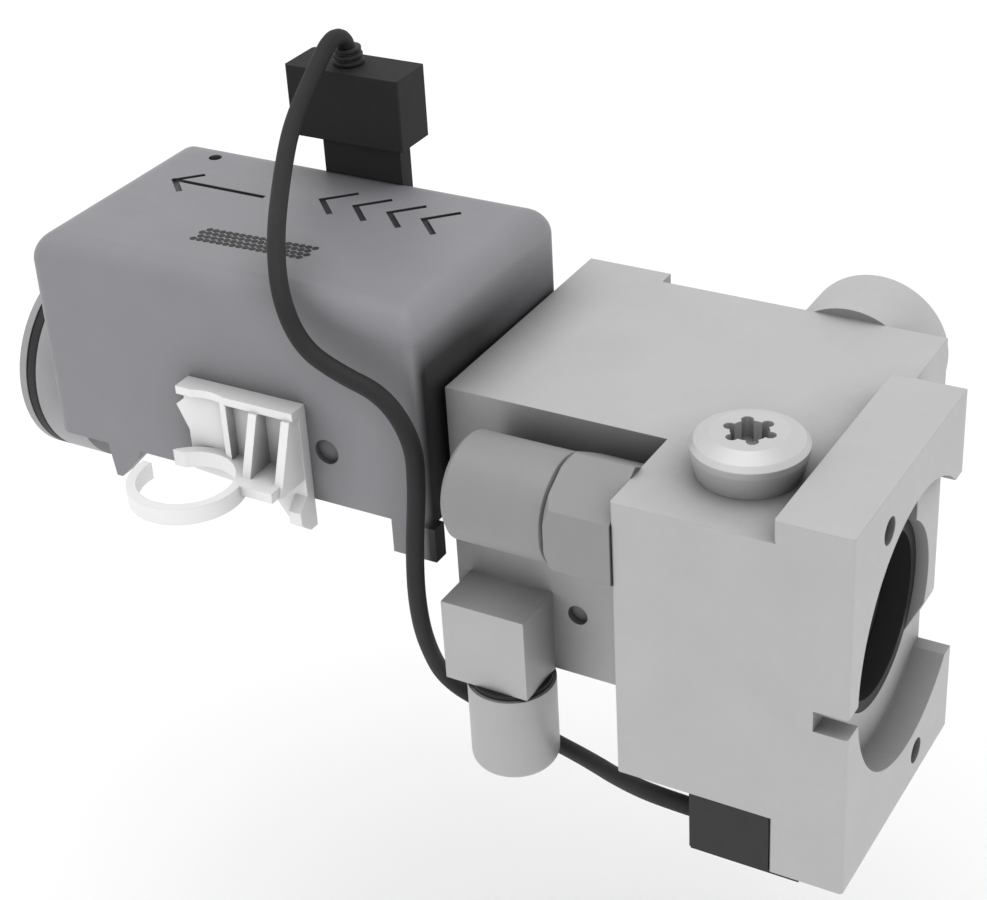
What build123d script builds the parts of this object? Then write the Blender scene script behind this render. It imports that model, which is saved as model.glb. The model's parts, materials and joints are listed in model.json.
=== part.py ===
"""Motorised valve head: a cast valve block, a geared plastic actuator on its flow tube, a drain cap,
a capped test port and a clip-on temperature sensor with its cable.

Local axes while modelling: X runs along the flow line towards the inlet flange, Y to the back, Z up,
from the block's lower left front corner. Every part is moved at export, so that the finished object
has its origin at the centre of the inlet port's mouth.
"""
import os
from math import atan2, cos, degrees, hypot, pi, radians, sin, tan

from build123d import *

os.makedirs("parts", exist_ok=True)

# ---- clearances ----
running_gap = 0.05      # a shaft in its bore, on the radius
loose_gap = 0.3         # between bodies that move past each other
seat_gap = 0.1          # between static parts that slide together

# ---- valve block ----
block_length = 51.0
flange_thick = 8.0
flange_depth = 30.5
flange_height = 42.5
body_depth = 44.5
body_setback = 6.8
body_floor = 7.0
body_top = 40.0
recess_length = 26.0
recess_depth = 13.0
lug_length = 10.3
lug_proud = 2.2
lug_floor = 22.0
port_y = 17.9
port_z = 21.7
port_radius = 10.3
port_depth = 18.0
sleeve_bore = 9.0
sleeve_length = 6.0
seal_at = 3.0
seal_width = 1.8
seal_groove = 0.8
seal_proud = 0.25
counterbore_radius = 15.4
counterbore_depth = 3.6
notch_floor = 10.7
notch_top = 32.8
notch_reach = 5.4
ledge_thick = 1.4
ledge_floor = 16.2
ledge_reach = 7.0
slot_height = 2.4
slot_floor = 19.5
face_hole_radius = 1.45
face_hole_depth = 7.0
face_hole_reach = 18.6
face_hole_angles = (118.0, -81.0)
boss_setback = 18.0
boss_z = 32.6
boss_radius = 8.5
boss_reach = 9.5
boss_edge = 0.5
block_edge = 0.4
wall_dimple_x = 14.9
wall_dimple_z = 15.0
wall_dimple_radius = 1.2
wall_dimple_depth = 1.0

# ---- square drain boss and its cap ----
drain_x = 7.8
drain_y = 10.2
drain_side = 10.2
drain_boss_left = 1.7
drain_front = 6.3
drain_boss_top = 17.2
drain_bore = 1.4
drain_turn_y = 16.6
drain_turn_z = 13.6
nipple_radius = 3.3
nipple_length = 6.0
cap_radius = 5.0
cap_length = 11.0
cap_roof = 2.2
cap_edge = 1.3
washer_thick = 0.6
washer_radius = 4.6

# ---- capped test port at the side ----
test_port_y = 5.8
test_port_z = 33.8
test_port_radius = 5.85
test_port_start = 6.4
test_port_end = 3.0
test_port_stem_radius = 4.0
nut_flats = 12.0
nut_length = 7.4
nut_turn = 30.0
nut_bevel = 0.7
nut_corner_cut = 0.05
test_port_edge = 0.6
stud_reach = 3.6
stud_radius = 3.0
side_bore = 1.2
side_turn_inset = 1.6

# ---- clamping screw on the block ----
screw_setback = 15.1
screw_y = 10.8
screw_head_radius = 6.0
screw_foot_radius = 5.3
screw_rim_height = 3.3
screw_head_height = 4.6
screw_crown_radius = 3.9
screw_shank_radius = 3.0
screw_shank_length = 7.5
torx_radius = 2.75
torx_waist = 1.95
torx_depth = 2.4
torx_lobe = 0.62
screw_foot_step = 0.1
screw_foot_drop = 0.8
screw_shoulder = (0.5, 0.55)

# ---- temperature sensor under the block ----
sensor_width = 8.8
sensor_depth = 22.0
sensor_lip = 0.5
sensor_lip_reach = 3.2
sensor_lip_step = 0.3
probe_inset = 2.2
probe_radius = 2.0
probe_length = 7.5

# ---- flow tube ----
axis_y = 24.2
axis_z = 26.1
tube_radius = 7.5
tube_wall = 2.0
tube_reach = 17.0
collar_radius = 12.0
collar_length = 8.1
rim_thick = 1.0
groove_width = 1.5
groove_depth = 1.9
saddle_top = 33.8
saddle_half_width = 5.0
saddle_length = 22.0
saddle_root = 4.0
stem_clearance = 0.2
coupling_seal_at = 9.0
coupling_seal_width = 2.0
coupling_seal_depth = 1.5

# ---- actuator housing ----
house_left = -52.2
house_right = -0.6
house_front = 8.8
house_back = 39.9
house_floor = 24.4
house_top = 49.8
wall = 2.0
top_edge = 3.2
side_edge = 1.8
end_wall = 4.4
pad_margin = 1.0
base_thick = 2.0
trough_wall = 1.5
tab_right_x = -5.5
tab_right_length = 5.5
tab_left_x = -44.6
tab_left_length = 4.8
tab_height = 4.2
tab_thick = 2.0
tab_left_shoulder = 1.2
tab_left_taper = (0.6, 1.4)
dimple_x = -13.2
dimple_z = 31.0
dimple_radius = 1.5
dimple_depth = 0.8
vent_x = -44.8
vent_y = 35.6
vent_radius = 0.8
post_radius = 2.4
post_inset = 2.3
post_top = 33.0
post_roof = 1.5
mouth_lip = 0.3
cover_screw_radius = 1.25
cover_screw_head = 2.1
cover_screw_head_height = 1.3
cover_screw_length = 7.0
cover_screw_slot = 0.6
cover_screw_slot_half = 1.4

# ---- markings on the cover ----
mark_height = 0.35
mark_stroke = 0.7
chevron_count = 4
chevron_height = 5.6
chevron_width = 2.8
chevron_pitch = 4.55
chevron_x = -9.5
chevron_y = 30.4
arrow_tip_x = -45.4
arrow_tail_x = -32.9
arrow_y = 28.3
arrow_barb = 2.3

# ---- gear train ----
plate_thick = 1.6
module = 0.8
tooth_addendum = 0.45
tooth_dedendum = 0.95
tooth_root = 0.5        # half widths of a tooth at its root, its middle and its tip
tooth_middle = 0.36
tooth_tip = 0.16
valve_teeth = 24
pinion_teeth = 8
wheel_teeth = 20
gear_thick = 3.0
wheel_thick = 2.6
gear_lift = 0.8
wheel_lift = 0.6
valve_x = -36.5
stem_radius = 1.5
stem_foot_wall = 0.6
hub_radius = 2.6
hub_height = 1.2
disc_gap = 0.3
disc_thick = 1.6
idler_pin_radius = 1.0
motor_radius = 6.0
motor_height = 5.4
motor_shaft_radius = 0.75
standoff_radius = 1.2
standoff_inset_left = 4.4
standoff_inset_right = 4.2
standoff_inset_y = 1.7
post_relief = 1.0
pin_collar = 1.0
pin_stub = 0.9
motor_edge = 0.5
motor_floor = 1.0
board_edge_x = 1.6
board_edge_y = 1.2
board_to_header = 1.0
board_thick = 1.2
board_floor = 45.2

# ---- connector, plug and cable ----
header_x = -30.2
header_width = 10.6
header_y = 37.7
header_depth = 2.2
header_foot = 44.0
header_top = 54.0
blade_reach = 4.0
header_foot_depth = 5.0
plug_x = -34.2
plug_width = 15.3
plug_depth = 6.2
plug_height = 8.6
plug_edge = 0.4
plug_front = 0.7
gland_radius = 1.5
gland_length = 0.6
cable_radius = 1.0

# ---- pipe clip ----
clip_left = -32.3
clip_right = -15.5
clip_floor = 21.0
clip_top = 36.5
clip_plate = 1.3
clip_ring_x = -26.8
clip_ring_y = 0.9
clip_ring_radius = 6.6
clip_ring_wall = 1.1
clip_ring_floor = 26.7
clip_ring_height = 2.0
clip_shelf = 1.2
clip_rib = 1.1
clip_rib_reach = 4.4
clip_hook_reach = 1.6
clip_mouth = 3.4
clip_mouth_shift = 2.6
clip_ear = (1.2, 2.2, 3.2, 6.2)     # its inset, its slope, its tip and its root, from the plate's corner
clip_foot = (2.2, 4.6, 3.4, 4.2)    # its width, its slope's run and rise, and the plate's rise at the left
clip_left_inset = 1.4
clip_lip = 1.2
clip_lip_thick = 1.0
clip_shelf_inset = 0.6
clip_shelf_start = 1.0
clip_brace_top = 0.35               # the share of a brace's reach that is left at its top
clip_brace_insets = (0.2, 5.6)      # the right brace and the middle brace, from the plate's right edge
clip_brace_left = 1.4
clip_hook_width = 1.6
clip_hook = (4.4, 3.0, 1.4)         # its root, its shoulder and its nose, above the plate's floor

body_port_x = block_length - counterbore_depth
body_end = block_length - body_setback
boss_x = block_length - boss_setback
screw_x = block_length - screw_setback
sensor_end = block_length - flange_thick
sensor_x = sensor_end - sensor_width
probe_x = sensor_x + probe_inset
side_turn_x = body_port_x - port_depth + side_turn_inset
tube_bore = tube_radius - tube_wall
stem_foot = tube_radius - stem_foot_wall
disc_radius = tube_bore - disc_gap
collar_end = house_left - collar_length
origin = Location((-body_port_x, -port_y, -port_z))
plate_floor = saddle_top
plate_top = plate_floor + plate_thick
idler_x = valve_x + module * (valve_teeth + pinion_teeth) / 2
motor_x = idler_x + module * (wheel_teeth + pinion_teeth) / 2
gear_floor = plate_top + gear_lift
wheel_floor = gear_floor + gear_thick + hub_height + wheel_lift
inner_right = house_right - end_wall


def box(x0, x1, y0, y1, z0, z1):
    """A box between two corners."""
    return Pos((x0 + x1) / 2, (y0 + y1) / 2, (z0 + z1) / 2) * Box(x1 - x0, y1 - y0, z1 - z0)


def rod_x(x0, x1, y, z, radius):
    """A round bar along X."""
    return Pos((x0 + x1) / 2, y, z) * Rot(0, 90, 0) * Cylinder(radius, x1 - x0)


def rod_y(x, y0, y1, z, radius):
    """A round bar along Y."""
    return Pos(x, (y0 + y1) / 2, z) * Rot(90, 0, 0) * Cylinder(radius, y1 - y0)


def rod_z(x, y, z0, z1, radius):
    """A round bar along Z."""
    return Pos(x, y, (z0 + z1) / 2) * Cylinder(radius, z1 - z0)


def prism_z(points, z0, z1):
    """A polygon in plan, raised from z0 to z1."""
    return Pos(0, 0, z0) * extrude(Polygon(*points, align=None), amount=z1 - z0, dir=(0, 0, 1))


def prism_y(points, y0, y1):
    """A polygon of (x, z) points, run back from y0 to y1."""
    face = Plane.XZ * Polygon(*points, align=None)
    return Pos(0, y0, 0) * extrude(face, amount=y1 - y0, dir=(0, 1, 0))


def prism_x(points, x0, x1):
    """A polygon of (y, z) points, run along X from x0 to x1."""
    face = Plane.YZ * Polygon(*points, align=None)
    return Pos(x0, 0, 0) * extrude(face, amount=x1 - x0, dir=(1, 0, 0))


def save(name, shape):
    """Move one part to the object's own origin and write it."""
    export_step(origin * shape, f"parts/{name}.step")


def gear(teeth, x, z0, z1, phase):
    """A straight-toothed gear about a vertical axis, with one tooth centred on the phase angle."""
    pitch = module * teeth / 2
    steps = ((-tooth_dedendum, -tooth_root), (0, -tooth_middle), (tooth_addendum, -tooth_tip),
             (tooth_addendum, tooth_tip), (0, tooth_middle), (-tooth_dedendum, tooth_root))
    outline = []
    for index in range(teeth):
        middle = phase + 2 * pi * index / teeth
        for height, half_width in steps:
            radius = pitch + height
            angle = middle + half_width / radius
            outline.append((x + radius * cos(angle), axis_y + radius * sin(angle)))
    return prism_z(outline, z0, z1)


def valve_block():
    """The cast block: flange, body, rear lug and boss, with the port, its counterbore and the sockets."""
    flange = box(block_length - flange_thick, block_length, 0, flange_depth, 0, flange_height)
    body = box(recess_length, body_end, 0, body_depth, body_floor, body_top)
    left = box(0, recess_length, recess_depth, body_depth, body_floor, body_top)
    lug = box(0, lug_length, body_depth, body_depth + lug_proud, lug_floor, body_top)
    drain_boss = box(drain_boss_left, drain_boss_left + drain_side, drain_front, recess_depth,
                     body_floor, drain_boss_top)
    nipple = rod_z(drain_x, drain_y, body_floor - nipple_length, body_floor, nipple_radius)
    rear_boss = rod_y(boss_x, body_depth, body_depth + boss_reach, boss_z, boss_radius)
    rear_boss = chamfer(rear_boss.edges().filter_by(GeomType.CIRCLE).group_by(Axis.Y)[-1], boss_edge)
    block = flange + body + left
    block = fillet(block.edges().filter_by(Axis.Z).group_by(Axis.Y)[0], block_edge)
    block = block + lug + drain_boss + nipple + rear_boss
    block -= rod_x(body_port_x, block_length, port_y, port_z, counterbore_radius)
    block -= prism_y(notch_outline(), flange_depth - notch_reach, flange_depth + 1)
    block += rear_ledge()
    block -= rod_x(body_port_x - port_depth, block_length, port_y, port_z, port_radius)
    block -= box(body_port_x, block_length + 1, -1, port_y, slot_floor, slot_floor + slot_height)
    for angle in face_hole_angles:
        y = port_y + face_hole_reach * cos(radians(angle))
        z = port_z + face_hole_reach * sin(radians(angle))
        block -= rod_x(block_length - face_hole_depth, block_length, y, z, face_hole_radius)
    block -= rod_x(0, tube_reach + seat_gap, axis_y, axis_z, tube_radius + seat_gap)
    block -= rod_x(tube_reach, body_port_x - port_depth + 1, axis_y, axis_z, tube_bore)
    block -= rod_z(drain_x, drain_y, body_floor - nipple_length, drain_turn_z, drain_bore)
    block -= rod_y(drain_x, drain_y, drain_turn_y, drain_turn_z, drain_bore)
    block -= rod_x(drain_x, body_port_x - port_depth + 1, drain_turn_y, drain_turn_z, drain_bore)
    block -= rod_x(recess_length, recess_length + stud_reach, test_port_y, test_port_z, stud_radius)
    block -= rod_x(recess_length, side_turn_x, test_port_y, test_port_z, side_bore)
    block -= rod_y(side_turn_x, test_port_y, port_y, test_port_z, side_bore)
    block -= rod_z(side_turn_x, port_y, port_z, test_port_z, side_bore)
    block -= rod_y(wall_dimple_x, recess_depth, recess_depth + wall_dimple_depth, wall_dimple_z,
                   wall_dimple_radius)
    block -= rod_z(screw_x, screw_y, body_top - screw_shank_length, body_top, screw_shank_radius)
    block -= rod_z(probe_x, port_y, 0, port_z, probe_radius + seat_gap)
    return block


def notch_outline():
    """The (x, z) outline of the notch through the back wall of the flange."""
    return [(block_length + 1, notch_floor), (body_port_x, notch_floor), (body_port_x, notch_top),
            (block_length + 1, notch_top)]


def rear_ledge():
    """The raised strip on the notch's floor, with a sloping lower end."""
    root = body_port_x - seat_gap
    outline = [(root, ledge_floor - ledge_thick), (body_port_x, ledge_floor - ledge_thick),
               (body_port_x + ledge_thick, ledge_floor + ledge_thick), (body_port_x + ledge_thick, notch_top),
               (root, notch_top)]
    return prism_y(outline, flange_depth - ledge_reach, flange_depth)


def seal_ring_x(x0, x1, y, z, outer, inner):
    """A moulded seal with rounded lips, about an axis along X."""
    ring = rod_x(x0, x1, y, z, outer) - rod_x(x0, x1, y, z, inner)
    edge = min(x1 - x0, outer - inner) * 0.3
    return fillet(ring.edges().filter_by(GeomType.CIRCLE), edge)


def inlet_sleeve():
    """The black sleeve that lines the inlet port, with a groove for its seal."""
    x0 = body_port_x - sleeve_length
    sleeve = rod_x(x0, body_port_x, port_y, port_z, port_radius)
    sleeve -= rod_x(x0, body_port_x, port_y, port_z, sleeve_bore)
    x1 = body_port_x - seal_at
    return sleeve - rod_x(x1 - seal_width, x1, port_y, port_z, sleeve_bore + seal_groove)


def inlet_seal():
    """The O-ring in the sleeve's groove."""
    x1 = body_port_x - seal_at
    return seal_ring_x(x1 - seal_width, x1, port_y, port_z, sleeve_bore + seal_groove, sleeve_bore - seal_proud)


def spigot_oring():
    """The O-ring in the outlet collar's groove."""
    x0 = collar_end + rim_thick
    return seal_ring_x(x0, x0 + groove_width, axis_y, axis_z, collar_radius,
                       collar_radius - groove_depth)


def coupling_oring():
    """The O-ring that seals the flow tube in the block."""
    return seal_ring_x(coupling_seal_at, coupling_seal_at + coupling_seal_width, axis_y, axis_z,
                       tube_radius + seat_gap, tube_radius - coupling_seal_depth)


def flow_tube():
    """The moulded tube through the actuator: collar, saddle for the gear plate, and bore."""
    tube = rod_x(house_left, tube_reach, axis_y, axis_z, tube_radius)
    tube += rod_x(collar_end, house_left, axis_y, axis_z, collar_radius)
    tube += box(valve_x - saddle_length / 2, valve_x + saddle_length / 2,
                axis_y - saddle_half_width, axis_y + saddle_half_width, axis_z + saddle_root, saddle_top)
    tube -= rod_x(collar_end, tube_reach, axis_y, axis_z, tube_bore)
    x0 = collar_end + rim_thick
    tube -= (rod_x(x0, x0 + groove_width, axis_y, axis_z, collar_radius)
             - rod_x(x0, x0 + groove_width, axis_y, axis_z, collar_radius - groove_depth))
    x0 = coupling_seal_at
    tube -= (rod_x(x0, x0 + coupling_seal_width, axis_y, axis_z, tube_radius + 1)
             - rod_x(x0, x0 + coupling_seal_width, axis_y, axis_z, tube_radius - coupling_seal_depth))
    tube -= rod_z(valve_x, axis_y, axis_z - stem_foot, saddle_top, stem_radius + running_gap)
    return tube


def post_places():
    """Plan positions of the four screw posts in the housing's corners."""
    x0 = house_left + wall + post_inset
    x1 = inner_right - post_inset
    y0 = house_front + wall + post_inset
    y1 = house_back - wall - post_inset
    return [(x0, y0), (x1, y0), (x1, y1), (x0, y1)]


def housing_cover():
    """The grey shell over the gears, open below, with marks cut into its roof."""
    outer = box(house_left, house_right, house_front, house_back, house_floor, house_top)
    outer = fillet(outer.edges().filter_by(Axis.Z), side_edge)
    outer = fillet(outer.edges().group_by(Axis.Z)[-1], top_edge)
    cover = outer - box(house_left + wall, inner_right, house_front + wall, house_back - wall,
                        house_floor, house_top - wall)
    for x, y in post_places():
        corner_x = x + (post_inset if x > (house_left + house_right) / 2 else -post_inset)
        corner_y = y + (post_inset if y > (house_front + house_back) / 2 else -post_inset)
        web = box(min(x, corner_x), max(x, corner_x), min(y, corner_y), max(y, corner_y),
                  house_floor + base_thick, post_top)
        cover += web + rod_z(x, y, house_floor + base_thick, post_top, post_radius)
    for x, y in post_places():
        cover -= rod_z(x, y, house_floor + base_thick, post_top - post_roof, cover_screw_radius + seat_gap)
    cover -= rod_x(house_left, house_right, axis_y, axis_z, tube_radius + seat_gap)
    cover -= rod_x(house_left, house_right, axis_y, house_floor, tube_radius + seat_gap - mouth_lip)
    cover -= box(header_x - seat_gap, header_x + header_width + seat_gap,
                 header_y - seat_gap, house_back, header_foot - seat_gap, house_top)
    cover -= rod_y(dimple_x, house_front, house_front + dimple_depth, dimple_z, dimple_radius)
    cover -= rod_z(vent_x, vent_y, house_top - wall, house_top, vent_radius)
    for mark in flow_chevrons() + flow_arrow():
        cover -= mark
    return cover


def cut_stroke(x0, y0, x1, y1):
    """One straight stroke cut into the roof, from point to point."""
    turn = degrees(atan2(y1 - y0, x1 - x0))
    length = hypot(x1 - x0, y1 - y0) + mark_stroke
    return Pos((x0 + x1) / 2, (y0 + y1) / 2, house_top - mark_height / 2) * Rot(0, 0, turn) * Box(
        length, mark_stroke, mark_height)


def flow_chevrons():
    """A row of plain chevrons cut into the roof, pointing the way of the flow."""
    row = []
    for index in range(chevron_count):
        right = chevron_x - chevron_pitch * index
        tip = right - chevron_width
        row.append(cut_stroke(right, chevron_y + chevron_height / 2, tip, chevron_y))
        row.append(cut_stroke(tip, chevron_y, right, chevron_y - chevron_height / 2))
    return row


def flow_arrow():
    """The arrow cut into the roof, pointing to the outlet."""
    back = arrow_tip_x + arrow_barb
    return [cut_stroke(arrow_tail_x, arrow_y, arrow_tip_x, arrow_y),
            cut_stroke(arrow_tip_x, arrow_y, back, arrow_y - arrow_barb),
            cut_stroke(arrow_tip_x, arrow_y, back, arrow_y + arrow_barb)]


def housing_base():
    """The plate that closes the housing below, with a trough round the flow tube and two tabs."""
    plate = box(house_left + wall + seat_gap, inner_right - seat_gap, house_front + wall + seat_gap,
                house_back - wall - seat_gap, house_floor, house_floor + base_thick)
    trough = rod_x(house_left, house_right, axis_y, axis_z, tube_radius + seat_gap + trough_wall)
    trough = trough & box(house_left, house_right, 0, body_depth, 0, house_floor)
    base = plate + trough
    base += box(house_left + wall, inner_right, axis_y - tube_radius - trough_wall,
                axis_y + tube_radius + trough_wall, house_floor, house_floor + base_thick)
    base -= rod_x(house_left, house_right, axis_y, axis_z, tube_radius + seat_gap)
    for x, y in post_places():
        base -= rod_z(x, y, house_floor, house_floor + base_thick, cover_screw_radius + seat_gap)
        base -= rod_z(x, y, house_floor, house_floor + cover_screw_head_height, cover_screw_head + seat_gap)
    return base


def housing_tabs():
    """The two locating tabs that hang below the cover's front wall."""
    y0 = house_front
    right = box(tab_right_x, tab_right_x + tab_right_length, y0, y0 + tab_thick,
                house_floor - tab_height, house_floor)
    near, far = tab_left_taper
    outline = [(tab_left_x, house_floor), (tab_left_x + tab_left_length, house_floor),
               (tab_left_x + tab_left_length - near, house_floor - tab_left_shoulder),
               (tab_left_x + far, house_floor - tab_height), (tab_left_x + near, house_floor - tab_height)]
    return right + prism_y(outline, y0, y0 + tab_thick)


def cover_screws():
    """The four screws that hold the base to the cover."""
    screws = Part()
    for x, y in post_places():
        head = rod_z(x, y, house_floor, house_floor + cover_screw_head_height, cover_screw_head)
        head -= box(x - cover_screw_slot_half, x + cover_screw_slot_half, y - cover_screw_slot / 2,
                    y + cover_screw_slot / 2, house_floor, house_floor + cover_screw_slot)
        shank = rod_z(x, y, house_floor + cover_screw_head_height, house_floor + cover_screw_length,
                      cover_screw_radius)
        screws += head + shank
    return screws


def end_gasket():
    """The thin black pad between the housing's end wall and the block."""
    pad = box(house_right, 0, recess_depth + pad_margin, house_back - side_edge,
              house_floor + pad_margin, body_top - pad_margin)
    return pad - rod_x(house_right, 0, axis_y, axis_z, tube_radius + seat_gap)


def gear_plate():
    """The plate that carries the motor, the idler pin and the circuit board."""
    places = board_posts()
    x0 = places[0][0] - standoff_radius
    x1 = places[1][0] + standoff_radius
    y0 = places[0][1] - standoff_radius
    y1 = places[2][1] + standoff_radius
    plate = box(x0, x1, y0, y1, plate_floor, plate_top)
    plate -= rod_z(valve_x, axis_y, plate_floor, plate_top, stem_radius + running_gap)
    for x, y in post_places():
        plate -= rod_z(x, y, plate_floor, plate_top, cover_screw_head + post_relief)
    for x, y in places:
        plate += rod_z(x, y, plate_top, board_floor, standoff_radius)
    plate += rod_z(idler_x, axis_y, plate_top, gear_floor - loose_gap, idler_pin_radius + pin_collar)
    plate -= rod_z(idler_x, axis_y, plate_top, gear_floor, idler_pin_radius)
    return plate


def board_posts():
    """Plan positions of the four standoffs under the circuit board."""
    x0 = house_left + wall + standoff_inset_left
    x1 = inner_right - standoff_inset_right
    y0 = house_front + wall + standoff_inset_y
    y1 = house_back - wall - standoff_inset_y
    return [(x0, y0), (x1, y0), (x1, y1), (x0, y1)]


def idler_pin():
    """The fixed pin that the idler turns on."""
    top = wheel_floor + wheel_thick + pin_stub
    return rod_z(idler_x, axis_y, plate_top, top, idler_pin_radius)


def motor_body():
    """The flat geared motor's can, with a boss round its shaft."""
    can = rod_z(motor_x, axis_y, plate_top, plate_top + motor_height, motor_radius)
    can = fillet(can.edges().filter_by(GeomType.CIRCLE).group_by(Axis.Z)[-1], motor_edge)
    return can - rod_z(motor_x, axis_y, plate_top + motor_floor, plate_top + motor_height,
                       motor_shaft_radius + running_gap)


def motor_pinion():
    """The motor's shaft with its pinion."""
    shaft = rod_z(motor_x, axis_y, plate_top + motor_floor + seat_gap, wheel_floor, motor_shaft_radius)
    return shaft + gear(pinion_teeth, motor_x, wheel_floor, wheel_floor + wheel_thick, 0)


def idler_gear():
    """The compound gear between the motor and the valve."""
    small = gear(pinion_teeth, idler_x, gear_floor, wheel_floor, 0)
    large = gear(wheel_teeth, idler_x, wheel_floor, wheel_floor + wheel_thick, pi / wheel_teeth)
    return small + large - rod_z(idler_x, axis_y, gear_floor, wheel_floor + wheel_thick,
                                 idler_pin_radius + running_gap)


def valve_gear():
    """The gear on the valve's stem."""
    wheel = gear(valve_teeth, valve_x, gear_floor, gear_floor + gear_thick, pi / valve_teeth)
    wheel += rod_z(valve_x, axis_y, gear_floor + gear_thick, gear_floor + gear_thick + hub_height, hub_radius)
    return wheel - rod_z(valve_x, axis_y, gear_floor, gear_floor + gear_thick + hub_height, stem_radius)


def valve_stem():
    """The stem, which runs down through the tube and carries the disc."""
    stem = rod_z(valve_x, axis_y, axis_z - stem_foot + stem_clearance, gear_floor + gear_thick + hub_height, stem_radius)
    return stem - box(valve_x - disc_thick / 2, valve_x + disc_thick / 2, axis_y - stem_radius,
                      axis_y + stem_radius, axis_z - disc_radius, axis_z + disc_radius)


def valve_disc():
    """The butterfly disc, shut across the bore at rest."""
    return rod_x(valve_x - disc_thick / 2, valve_x + disc_thick / 2, axis_y, axis_z, disc_radius)


def circuit_board():
    """The board on the standoffs, below the roof."""
    places = board_posts()
    return box(places[0][0] - board_edge_x, places[1][0] + board_edge_x, places[0][1] - board_edge_y,
               header_y - board_to_header, board_floor, board_floor + board_thick)


def connector_header():
    """The blade that stands up through the cover's back edge, with its foot on the board."""
    x1 = header_x + header_width
    y1 = header_y + header_depth
    blade = box(header_x, x1, header_y, y1, header_foot, header_top + blade_reach)
    foot = box(header_x, x1, header_y - header_foot_depth, header_y, board_floor + board_thick, house_top - wall - seat_gap)
    return blade + foot


def cable_plug():
    """The plug on the sensor's cable, seated over the header's blade."""
    y0 = header_y - plug_front
    body = box(plug_x, plug_x + plug_width, y0, y0 + plug_depth, header_top, header_top + plug_height)
    body = fillet(body.edges().filter_by(Axis.Z), plug_edge)
    body -= box(header_x - seat_gap, header_x + header_width + seat_gap, header_y - seat_gap,
                header_y + header_depth + seat_gap, header_top, header_top + blade_reach + seat_gap)
    top = header_top + plug_height
    return body + rod_z(cable_start[0], cable_start[1], top, top + gland_length, gland_radius)


def block_screw():
    """The clamping screw: a pan head with a six-lobed recess, and its shank."""
    profile = [(0, 0), (screw_foot_radius, 0), (screw_head_radius - screw_foot_step, screw_rim_height - screw_foot_drop),
               (screw_head_radius, screw_rim_height), (screw_head_radius - screw_shoulder[0], screw_rim_height + screw_shoulder[1]),
               (screw_crown_radius, screw_head_height), (0, screw_head_height)]
    head = revolve(Plane.XZ * Polygon(*profile, align=None), Axis.Z)
    lobes = Circle(torx_waist)
    for index in range(6):
        angle = radians(60 * index)
        reach = torx_radius - torx_lobe
        lobes += Pos(reach * cos(angle), reach * sin(angle)) * Circle(torx_lobe)
    recess = extrude(Pos(0, 0, screw_head_height - torx_depth) * lobes, amount=torx_depth)
    place = Pos(screw_x, screw_y, body_top)
    shank = rod_z(screw_x, screw_y, body_top - screw_shank_length, body_top, screw_shank_radius)
    return place * (head - recess) + shank


def test_port_nut():
    """The hexagon nut against the block."""
    side = nut_flats / 2 / cos(pi / 6)
    points = []
    for index in range(6):
        angle = radians(nut_turn + 60 * index)
        points.append((test_port_y + side * cos(angle), test_port_z + side * sin(angle)))
    x1 = recess_length
    nut = prism_x(points, x1 - nut_length, x1)
    bevel = rod_x(x1 - nut_length, x1, test_port_y, test_port_z, side - nut_corner_cut)
    bevel = chamfer(bevel.edges().filter_by(GeomType.CIRCLE).group_by(Axis.X)[0], nut_bevel)
    return (nut & bevel) - rod_x(x1 - nut_length, x1, test_port_y, test_port_z, test_port_stem_radius + seat_gap)


def test_port_cap():
    """The capped test port: a turned body with a stem through the nut and a stud in the block."""
    x1 = recess_length - nut_length
    body = rod_x(test_port_start, x1, test_port_y, test_port_z, test_port_radius)
    body = chamfer(body.edges().filter_by(GeomType.CIRCLE), test_port_edge)
    body += rod_x(x1, recess_length, test_port_y, test_port_z, test_port_stem_radius)
    body += rod_x(recess_length, recess_length + stud_reach, test_port_y, test_port_z, stud_radius)
    return body - rod_x(test_port_start + test_port_end, recess_length + stud_reach, test_port_y,
                        test_port_z, side_bore)


def drain_cap():
    """The round cap below the square boss."""
    top = body_floor - washer_thick
    cap = rod_z(drain_x, drain_y, top - cap_length, top, cap_radius)
    cap = fillet(cap.edges().filter_by(GeomType.CIRCLE).group_by(Axis.Z)[0], cap_edge)
    return cap - rod_z(drain_x, drain_y, top - cap_length + cap_roof, top, nipple_radius + seat_gap)


def cap_washer():
    """The sealing washer between the cap and the boss."""
    top = body_floor
    ring = rod_z(drain_x, drain_y, top - washer_thick, top, washer_radius)
    return ring - rod_z(drain_x, drain_y, top - washer_thick, top, nipple_radius + seat_gap)


def sensor_body():
    """The sensor's block, with a lip below the flange."""
    body = box(sensor_x, sensor_end, 0, sensor_depth, 0, body_floor)
    body += box(sensor_x, sensor_end + sensor_lip_reach, sensor_lip_step, sensor_depth, -sensor_lip, 0)
    return body


def sensor_probe():
    """The probe that stands up from the sensor into the port."""
    return rod_z(probe_x, port_y, body_floor, body_floor + probe_length, probe_radius)


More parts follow.
